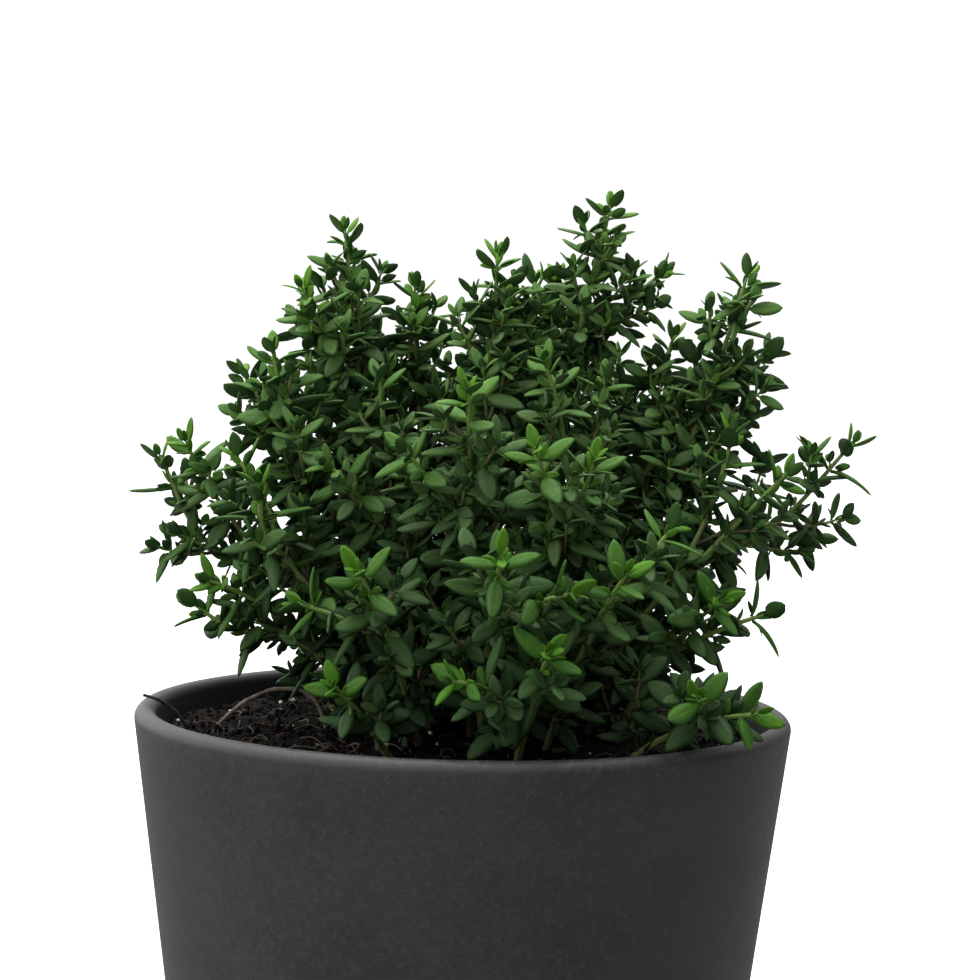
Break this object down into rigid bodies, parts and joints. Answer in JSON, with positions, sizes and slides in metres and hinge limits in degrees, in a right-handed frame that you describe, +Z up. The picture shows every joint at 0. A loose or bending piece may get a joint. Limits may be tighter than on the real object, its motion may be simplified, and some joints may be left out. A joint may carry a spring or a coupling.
{
  "type": "potted thyme",
  "caption": "Bushy young thyme plant with small opposite leaves, growing in soil in a dark, matte, tapered round ceramic pot.",
  "frame": {"origin": "centre of the pot's flat base", "axes": "+Z up along the pot's axis, -Y towards the side that the picture shows"},
  "size_m": [0.1596, 0.1482, 0.2369],
  "materials": {
    "pot_ceramic": "matte",
    "soil": "matte",
    "dry_stem": "matte",
    "sprig": "matte"
  },
  "bodies": {
    "root": {"pot": "pot_ceramic", "potting_soil": "soil", "dry_stem_left": "dry_stem", "dry_stem_middle": "dry_stem", "rim_twig": "dry_stem", "sprig_top_right": "sprig", "sprig_top_left": "sprig", "sprig_top_middle": "sprig", "sprig_top_inner": "sprig", "sprig_top_back": "sprig", "sprig_left_upper": "sprig", "sprig_left_far": "sprig", "sprig_left_front": "sprig", "sprig_left_low": "sprig", "sprig_right_top": "sprig", "sprig_right_inner": "sprig", "sprig_right_far": "sprig", "sprig_right_middle": "sprig", "sprig_right_low": "sprig", "sprig_front_upper": "sprig", "sprig_front_upper_right": "sprig", "sprig_inner_right": "sprig", "sprig_inner_left": "sprig", "sprig_front_left": "sprig", "sprig_front_middle": "sprig", "sprig_front_low": "sprig", "sprig_front_right": "sprig", "sprig_front_drooping": "sprig", "sprig_front_left_low": "sprig", "sprig_back_upper": "sprig", "sprig_back_upper_left": "sprig", "sprig_back_upper_right": "sprig", "sprig_back_left": "sprig", "sprig_back_right": "sprig", "sprig_back_middle": "sprig", "sprig_back_middle_left": "sprig", "sprig_back_middle_right": "sprig", "sprig_back_low": "sprig", "sprig_back_low_left": "sprig", "sprig_back_low_right": "sprig"}
  },
  "joints": []
}
